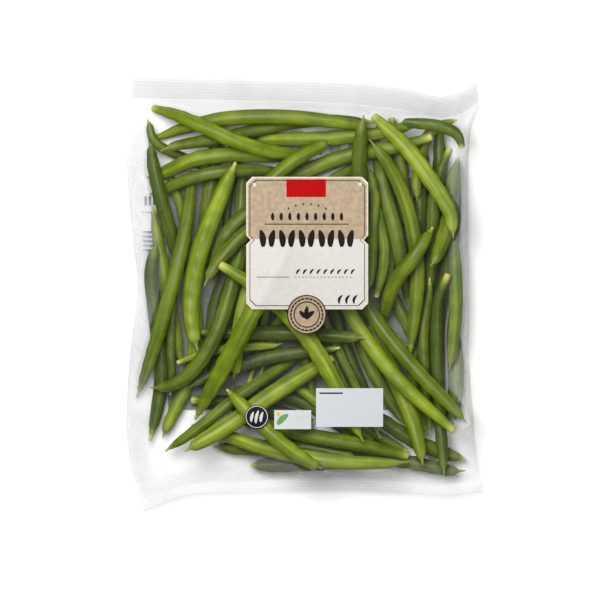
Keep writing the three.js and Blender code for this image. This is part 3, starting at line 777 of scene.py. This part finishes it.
def grow_film_look():
    """Clear film: only where it stands off the beans, and along creases, does it turn milky; the
    whitening along the creases is partly painted glints.
    """
    tree, _, result = new_look(
        "film look", (), (("Color", "Color"), ("Alpha", "Float"), ("Normal", "Vector"))
    )
    milky = new_node(tree, "ShaderNodeAttribute", attribute_name="haze_and_glints").outputs["Fac"]
    ribbed = new_node(tree, "ShaderNodeAttribute", attribute_name="rib").outputs["Fac"]
    wave = sums(tree, "SINE", sums(tree, "MULTIPLY", ribbed, math.tau / (1.7 * MM)))
    sealed = sums(tree, "GREATER_THAN", ribbed, 0.05 * MM)
    ribs = sums(tree, "MULTIPLY", wave, sealed)
    place = new_node(tree, "ShaderNodeTexCoord").outputs["Object"]
    crinkle = new_node(
        tree,
        "ShaderNodeTexNoise",
        {"Vector": place, "Scale": 85.0, "Detail": 5.0, "Distortion": 1.2},
    ).outputs["Fac"]
    height = sums(tree, "ADD", crinkle, sums(tree, "MULTIPLY", ribs, 0.07))
    bump = new_node(tree, "ShaderNodeBump", {"Height": height, "Strength": 0.5, "Distance": 0.0035})
    tree.links.new(bump.outputs[0], result["Normal"])
    # alpha from the milkiness, with its painted crease glints, and from the seal ribs
    alpha = sums(tree, "ADD", milky, sums(tree, "MULTIPLY", ribs, 0.022))
    tree.links.new(alpha, result["Alpha"])
    far_up = new_node(tree, "ShaderNodeSeparateXYZ", {0: place}).outputs["Y"]
    top_seal = sums(tree, "MULTIPLY", sealed, sums(tree, "GREATER_THAN", far_up, 0.0))
    tint = new_node(
        tree,
        "ShaderNodeMix",
        {0: top_seal, 6: (0.93, 0.94, 0.94, 1), 7: (0.36, 0.37, 0.37, 1)},
        data_type="RGBA",
    ).outputs[2]
    tree.links.new(tint, result["Color"])
    return tree


def film_clear(label, vents):
    """The film's material, cut away over the vents, with a painted highlight in a ring round each
    one.
    """
    paint = bpy.data.materials.new(label)
    paint.use_nodes = True
    tree = paint.node_tree
    shader = tree.nodes["Principled BSDF"]
    look = new_node(tree, "ShaderNodeGroup", node_tree=film_look).outputs
    place = new_node(tree, "ShaderNodeTexCoord").outputs["Object"]
    alpha = look["Alpha"]
    for x, y in vents:
        away = new_node(
            tree, "ShaderNodeVectorMath", {0: place, 1: (x * MM, y * MM, 0)}, operation="SUBTRACT"
        ).outputs[0]
        flat = new_node(tree, "ShaderNodeVectorMath", {0: away, 1: (1, 1, 0)}, operation="MULTIPLY")
        reach = new_node(tree, "ShaderNodeVectorMath", {0: flat.outputs[0]}, operation="LENGTH")
        cut_there = sums(tree, "GREATER_THAN", reach.outputs["Value"], VENT_RADIUS)
        # painted highlight: a pale ring drawn round each vent hole
        rim_glint = sums(tree, "COMPARE", reach.outputs["Value"], VENT_RADIUS + 0.4 * MM, 0.4 * MM)
        alpha = sums(tree, "ADD", alpha, sums(tree, "MULTIPLY", rim_glint, 0.35))
        alpha = sums(tree, "MULTIPLY", alpha, cut_there)
    tree.links.new(alpha, shader.inputs["Alpha"])
    tree.links.new(look["Color"], shader.inputs["Base Color"])
    tree.links.new(look["Normal"], shader.inputs["Normal"])
    shader.inputs["Roughness"].default_value = 0.2
    shader.inputs["IOR"].default_value = 1.6
    shader.inputs["Specular IOR Level"].default_value = 0.55
    return paint


film_look = grow_film_look()


def bag_mesh():
    """Both sheets as one closed skin that shares its rim."""
    row = ACROSS + 1
    count = X.size
    vertices = list(zip(X.ravel(), Y.ravel(), front.ravel()))
    shades = list(haze_and_glints.ravel())
    from_top = np.clip((V - high) / (1 - high), 0, 1) * SEAL["top"]
    from_bottom = np.clip((low - V) / low, 0, 1) * SEAL["bottom"]
    ribs = list((from_top + from_bottom).ravel())
    lower = {}
    for j in range(ALONG + 1):
        for i in range(row):
            if i in (0, ACROSS) or j in (0, ALONG):
                lower[j, i] = j * row + i
                continue
            lower[j, i] = len(vertices)
            sealed = not free[j, i]
            under = front[j, i] - LEAST_GAP
            vertices.append((X[j, i], Y[j, i], under if sealed else min(back[j, i], under)))
            shades.append(0.15 if sealed else 0.05)
            ribs.append(ribs[j * row + i])
    faces = []
    for j in range(ALONG):
        for i in range(ACROSS):
            a = j * row + i
            faces.append((a, a + 1, a + row + 1, a + row))
            faces.append((lower[j, i], lower[j + 1, i], lower[j + 1, i + 1], lower[j, i + 1]))
    mesh = bpy.data.meshes.new("film_bag_skin")
    mesh.from_pydata(vertices, [], faces)
    mesh.attributes.new("haze_and_glints", "FLOAT", "POINT").data.foreach_set("value", shades)
    mesh.attributes.new("rib", "FLOAT", "POINT").data.foreach_set("value", ribs)
    mesh.materials.append(film_clear("clear film", ()))
    mesh.materials.append(film_clear("clear film with vents", VENTS))
    for polygon in mesh.polygons:
        polygon.use_smooth = True
        polygon.material_index = polygon.index % 2  # front and back faces take turns
    return mesh


film = bpy.data.objects.new("film_bag_skin", bag_mesh())
bpy.context.collection.objects.link(film)
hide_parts("film_bag")
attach(film, "root")

# Print on the film: flat layers of ink that lie on its front or its back sheet and follow it. Each
# colour is one thin piece. All of it is plain shapes: a ticket panel, a badge, seals and boxes. The
# grey wash on the back sheet is no print but painted shade.

film_points = [tuple(p) for p in zip(X.ravel(), Y.ravel(), front.ravel())]
row = ACROSS + 1
front_faces = [
    (a, a + 1, a + row + 1, a + row)
    for a in (j * row + i for j in range(ALONG) for i in range(ACROSS))
]
film_tree = BVHTree.FromPolygons(film_points, front_faces)
INK_STEP = 0.2 * MM
INK_GRAIN = 1.3
back_points = [(x, y, z) for (x, y, _), z in zip(film_points, np.minimum(back, front).ravel())]
back_tree = BVHTree.FromPolygons(back_points, front_faces)


def height_at(x, y, sheet=film_tree):
    hit = sheet.ray_cast(Vector((x, y, 1)), Vector((0, 0, -1)))[0]
    return hit.z if hit else 0.0


def grow_ink_look():
    """Ink's uneven tone between two colours, and its faint grain."""
    tree, given, result = new_look(
        "ink look",
        (("Thin", "Color"), ("Full", "Color")),
        (("Color", "Color"), ("Normal", "Vector")),
    )
    place = new_node(tree, "ShaderNodeTexCoord").outputs["Object"]
    speck = new_node(tree, "ShaderNodeTexNoise", {"Vector": place, "Scale": 420.0, "Detail": 6.0})
    share = new_node(
        tree, "ShaderNodeMapRange", {0: speck.outputs["Fac"], 1: 0.36, 2: 0.64, 3: 0.0, 4: 1.0}
    ).outputs[0]
    tone = new_node(
        tree, "ShaderNodeMix", {0: share, 6: given["Thin"], 7: given["Full"]}, data_type="RGBA"
    ).outputs[2]
    bump = new_node(
        tree, "ShaderNodeBump", {"Height": speck.outputs["Fac"], "Strength": 0.15, "Distance": 0.0002}
    ).outputs[0]
    tree.links.new(tone, result["Color"])
    tree.links.new(bump, result["Normal"])
    return tree


ink_look = grow_ink_look()


def ink(label, colour, mottle=0.08):
    """Printed ink, a little uneven, under the gloss of the film."""
    paint = bpy.data.materials.new(label)
    paint.use_nodes = True
    tree = paint.node_tree
    shader = tree.nodes["Principled BSDF"]
    thin, full = ((*[min(1.0, c * gain) for c in colour], 1) for gain in (1 - mottle, 1 + mottle))
    look = new_node(tree, "ShaderNodeGroup", {"Thin": thin, "Full": full}, node_tree=ink_look).outputs
    tree.links.new(look["Color"], shader.inputs["Base Color"])
    tree.links.new(look["Normal"], shader.inputs["Normal"])
    shader.inputs["Roughness"].default_value = 0.5
    shader.inputs["Specular IOR Level"].default_value = 0.03
    return paint


def filled(shape, spot):
    """Whether a point lies in a shape and in none of its holes."""
    crossings = 0
    for outline in shape:
        for (ax, ay), (bx, by) in zip(outline, outline[1:] + outline[:1]):
            if (ay > spot.y) == (by > spot.y):
                continue
            if spot.x < ax + (spot.y - ay) * (bx - ax) / (by - ay):
                crossings += 1
    return crossings % 2 == 1


def stepped(outline, step):
    """An outline with more points along its long sides, so that it can follow the film."""
    points = []
    for (ax, ay), (bx, by) in zip(outline, outline[1:] + outline[:1]):
        count = max(1, math.ceil(math.dist((ax, ay), (bx, by)) / step))
        points += [(ax + (bx - ax) * k / count, ay + (by - ay) * k / count) for k in range(count)]
    return points


def printed(name, shapes, paint, layer, grain=INK_GRAIN, sheet=film_tree):
    """Fills outlines given in millimetres, lays them on the film, and gives them a thin closed wall.
    A shape is a list of outlines: the first is its edge, and any others are holes in it."""
    vertices, faces = [], []
    for shape in shapes:
        shape = [stepped(outline, grain) for outline in shape]
        points, edges = [], []
        for outline in shape:
            start = len(points)
            count = len(outline)
            points += [Vector(p) for p in outline]
            edges += [(start + k, start + (k + 1) % count) for k in range(count)]
        xs = [p.x for p in points]
        ys = [p.y for p in points]
        for gx in np.arange(min(xs) + grain / 2, max(xs), grain):
            for gy in np.arange(min(ys) + grain / 2, max(ys), grain):
                points.append(Vector((gx, gy)))
        out, _, cut, *_ = delaunay_2d_cdt(points, edges, [], 1, 1e-4)
        cut = [face for face in cut if filled(shape, sum((out[k] for k in face), Vector((0, 0))) / 3)]
        base = len(vertices)
        used = sorted({k for face in cut for k in face})
        place = {k: base + n for n, k in enumerate(used)}
        top = [(out[k].x * MM, out[k].y * MM) for k in used]
        z = [height_at(x, y, sheet) + layer * INK_STEP for x, y in top]
        vertices += [(x, y, h + 0.04 * MM) for (x, y), h in zip(top, z)]
        vertices += [(x, y, h - 0.02 * MM) for (x, y), h in zip(top, z)]
        count = len(used)
        rims = {}
        for face in cut:
            loop = [place[k] for k in face]
            area = sum(
                vertices[a][0] * vertices[b][1] - vertices[b][0] * vertices[a][1]
                for a, b in zip(loop, loop[1:] + loop[:1])
            )
            loop = loop if area > 0 else loop[::-1]
            faces.append(tuple(loop))
            faces.append(tuple(k + count for k in loop[::-1]))
            for a, b in zip(loop, loop[1:] + loop[:1]):
                rims[a, b] = (a, b)
        for a, b in rims:
            if (b, a) not in rims:
                faces.append((b, a, a + count, b + count))
    mesh = bpy.data.meshes.new(name)
    mesh.from_pydata(vertices, [], faces)
    mesh.materials.append(paint)
    piece = bpy.data.objects.new(name, mesh)
    bpy.context.collection.objects.link(piece)
    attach(piece, "root")
    return piece


def circle(x, y, radius, count=48):
    turns = [math.tau * k / count for k in range(count)]
    return [(x + radius * math.cos(t), y + radius * math.sin(t)) for t in turns]


def ring(x, y, outer, inner, count=56):
    return [circle(x, y, outer, count), circle(x, y, inner, count)]


def bar(x0, y0, x1, y1):
    return [(x0, y0), (x1, y0), (x1, y1), (x0, y1)]


def ticket(inset):
    """The ticket panel's outline: cut corners and a notch half-way down each side."""
    x0, x1, y0, y1 = -33.5 + inset, 36 - inset, -9 + inset, 66.5 - inset
    cut, notch, waist = 3.4, 2.6, 30.5
    return [
        (x0 + cut, y0), (x1 - cut, y0), (x1, y0 + cut), (x1, waist - notch), (x1 - notch, waist),
        (x1, waist + notch), (x1, y1 - cut), (x1 - cut, y1), (x0 + cut, y1), (x0, y1 - cut),
        (x0, waist + notch), (x0 + notch, waist), (x0, waist - notch), (x0, y0 + cut),
    ]


def clipped(outline, keep_above, y):
    """The part of an outline above or below a level."""
    kept = []
    for (ax, ay), (bx, by) in zip(outline, outline[1:] + outline[:1]):
        inside = (ay >= y) == keep_above
        if inside:
            kept.append((ax, ay))
        if (ay >= y) != (by >= y):
            share = (y - ay) / (by - ay)
            kept.append((ax + share * (bx - ax), y))
    return kept


def pod_shape(x, y, length, thick, turn, bend=0.16):
    """A bean drawn in outline: a crescent with a stalk."""
    upper, lower_side = [], []
    for k in range(13):
        t = k / 12
        half = thick / 2 * max(0.12, math.sin(math.pi * min(1, 0.06 + t * 0.94))) ** 0.5
        sag = bend * length * (4 * t * (1 - t) - 0.5)
        px = (t - 0.5) * length
        upper.append((px, sag + half))
        lower_side.append((px, sag - half))
    points = lower_side + upper[::-1]
    c, s = math.cos(turn), math.sin(turn)
    return [(x + c * px - s * py, y + s * px + c * py) for px, py in points]


cream = ink("cream ink", (0.68, 0.6, 0.47))
kraft = ink("kraft ink", (0.405, 0.31, 0.21), mottle=0.12)
pale = ink("off-white ink", (0.62, 0.59, 0.55), mottle=0.03)
dark = ink("dark ink", (0.014, 0.012, 0.01))
brick = ink("brick red ink", (0.4, 0.001, 0.002))
slate = ink("pale slate ink", (0.555, 0.59, 0.605), mottle=0.02)
white = ink("white ink", (0.56, 0.59, 0.58), mottle=0.02)
leaf = ink("leaf green ink", (0.12, 0.3, 0.1))
ochre = ink("ochre ink", (0.72, 0.42, 0.06))

printed("ticket_rim", [[ticket(0)]], cream, 1)
printed("ticket_head", [[clipped(ticket(0.9), True, 31.0)]], kraft, 2)
printed("ticket_body", [[clipped(ticket(0.9), False, 31.0)]], pale, 2)
ticket_lines = [[ticket(1.9), ticket(2.25)]]
ticket_lines.append([bar(-23, 39.3, 25, 39.8)])
# a row of pods runs across the middle, with smaller sprigs over and under it
for k in range(10):
    x = -24.3 + k * 5.6
    lean = 1.42 if k % 2 else 1.72
    ticket_lines.append([pod_shape(x, 31.4, 9.6, 3.7, lean, 0.05 if k % 2 else -0.05)])
for k in range(9):
    ticket_lines.append([pod_shape(-18.4 + k * 4.9, 43.9, 4.3, 1.9, 1.57, 0.04)])
for k in range(6):
    angle = math.radians(116.25 - 10.5 * k)
    x = 1.2 + 24 * math.cos(angle)
    y = 27 + 24 * math.sin(angle)
    ticket_lines.append([circle(x, y, 0.55, 10)])
for k in range(9):
    ticket_lines.append([pod_shape(-4 + k * 3.9, 12.6, 3.4, 1.1, 0.9, 0.12)])
ticket_lines.append([bar(-27.5, 9.2, -9, 9.5)])
for k in range(16):
    ticket_lines.append([bar(-6 + k * 2.1, 9.2, -5 + k * 2.1, 9.5)])
for k in range(3):
    ticket_lines.append([pod_shape(20 + k * 4.2, -3.2, 5.2, 1.5, 1.2, 0.18)])
printed("ticket_ink", ticket_lines, dark, 3)
printed("ticket_pins", [[circle(-28.9, 62.0, 1.15, 20)], [circle(31.4, 62.3, 1.15, 20)]], white, 3)
printed("ticket_tab", [[bar(-10.6, 55, 11.9, 65)]], brick, 3)

badge_x, badge_y = 1.0, -12.0
printed("badge_disc", [[circle(badge_x, badge_y, 11.2, 72)]], kraft, 4)
badge_lines = [ring(badge_x, badge_y, 11.2, 10.6, 72), ring(badge_x, badge_y, 7.5, 6.9, 60)]
for k in range(24):
    angle = math.tau * k / 24
    x = badge_x + 9.1 * math.cos(angle)
    y = badge_y + 9.1 * math.sin(angle)
    badge_lines.append([pod_shape(x, y, 2.2, 0.9, angle + math.pi / 2, 0.1)])
for turn, size in ((1.57, 7.4), (0.75, 6.0), (2.4, 6.0)):
    x = badge_x + 2.6 * math.cos(turn)
    y = badge_y - 2.4 + 3.4 * math.sin(turn)
    badge_lines.append([pod_shape(x, y, size, 2.6, turn, 0.05)])
printed("badge_ink", badge_lines, dark, 5)

printed("date_panel", [[bar(6.3, -76, 44.5, -54)]], slate, 1)
printed("date_rule", [[bar(8.2, -57.2, 21.5, -56.4)]], dark, 2)

printed("round_seal", [[circle(-27.5, -70.3, 6.8, 48)]], dark, 1)
seal_marks = [ring(-27.5, -70.3, 6.3, 5.9, 48)]
for k in range(3):
    seal_marks.append([pod_shape(-30.2 + 2.7 * k, -70.3, 7.4 - abs(k - 1) * 1.6, 1.7, 1.35, 0.06)])
printed("round_seal_marks", seal_marks, white, 2)

printed("origin_panel", [[bar(-17.5, -77.3, 3.5, -66.5)]], white, 1)
printed("origin_leaf", [[pod_shape(-12.9, -71.6, 8.2, 3.4, 0.75, 0.05)]], leaf, 2)
printed("origin_dot", [[circle(-15.2, -68.8, 1.2, 20)]], ochre, 2)
printed("origin_rules", [[bar(-6.6, -70.4, 2.2, -69.7)], [bar(-6.6, -72.6, 0.4, -71.9)]], slate, 2)

# the back panel's print, seen through the gaps: a column of small bars and a pale row; and a plain
# grey wash, painted shade that darkens the gaps in the middle of the pile
sage = ink("pale sage ink", (0.4, 0.46, 0.38), mottle=0.1)
ash = ink("ash grey ink", (0.16, 0.17, 0.17), mottle=0.2)
column = [[bar(-93.5, 46.2, -86.5, 46.6)]]
for k in range(5):
    column.append([bar(-92.5, 34.6 - 2.6 * k, -86.5 + 1.4 * (k % 3), 35.6 - 2.6 * k)])
for k in range(3):
    column.append([bar(-91.5 + 2.4 * k, 50.5, -90.2 + 2.4 * k, 55.5)])
printed("back_column", column, ash, 1, sheet=back_tree)
pale_row = [[bar(-52 + 11 * k, 78 + k % 2, -45.5 + 11 * k, 93 - k % 2)] for k in range(9)]
printed("back_row", pale_row, sage, 1, sheet=back_tree)
# painted shade: a grey sheet of ink under the middle of the pile, so that the gaps between the beans
# read dark
panel = ink("grey wash of painted shade", (0.24, 0.262, 0.215), mottle=0.12)
printed("back_shade_wash", [[bar(-78, -66, 80, 66)]], panel, 1, grain=4, sheet=back_tree)
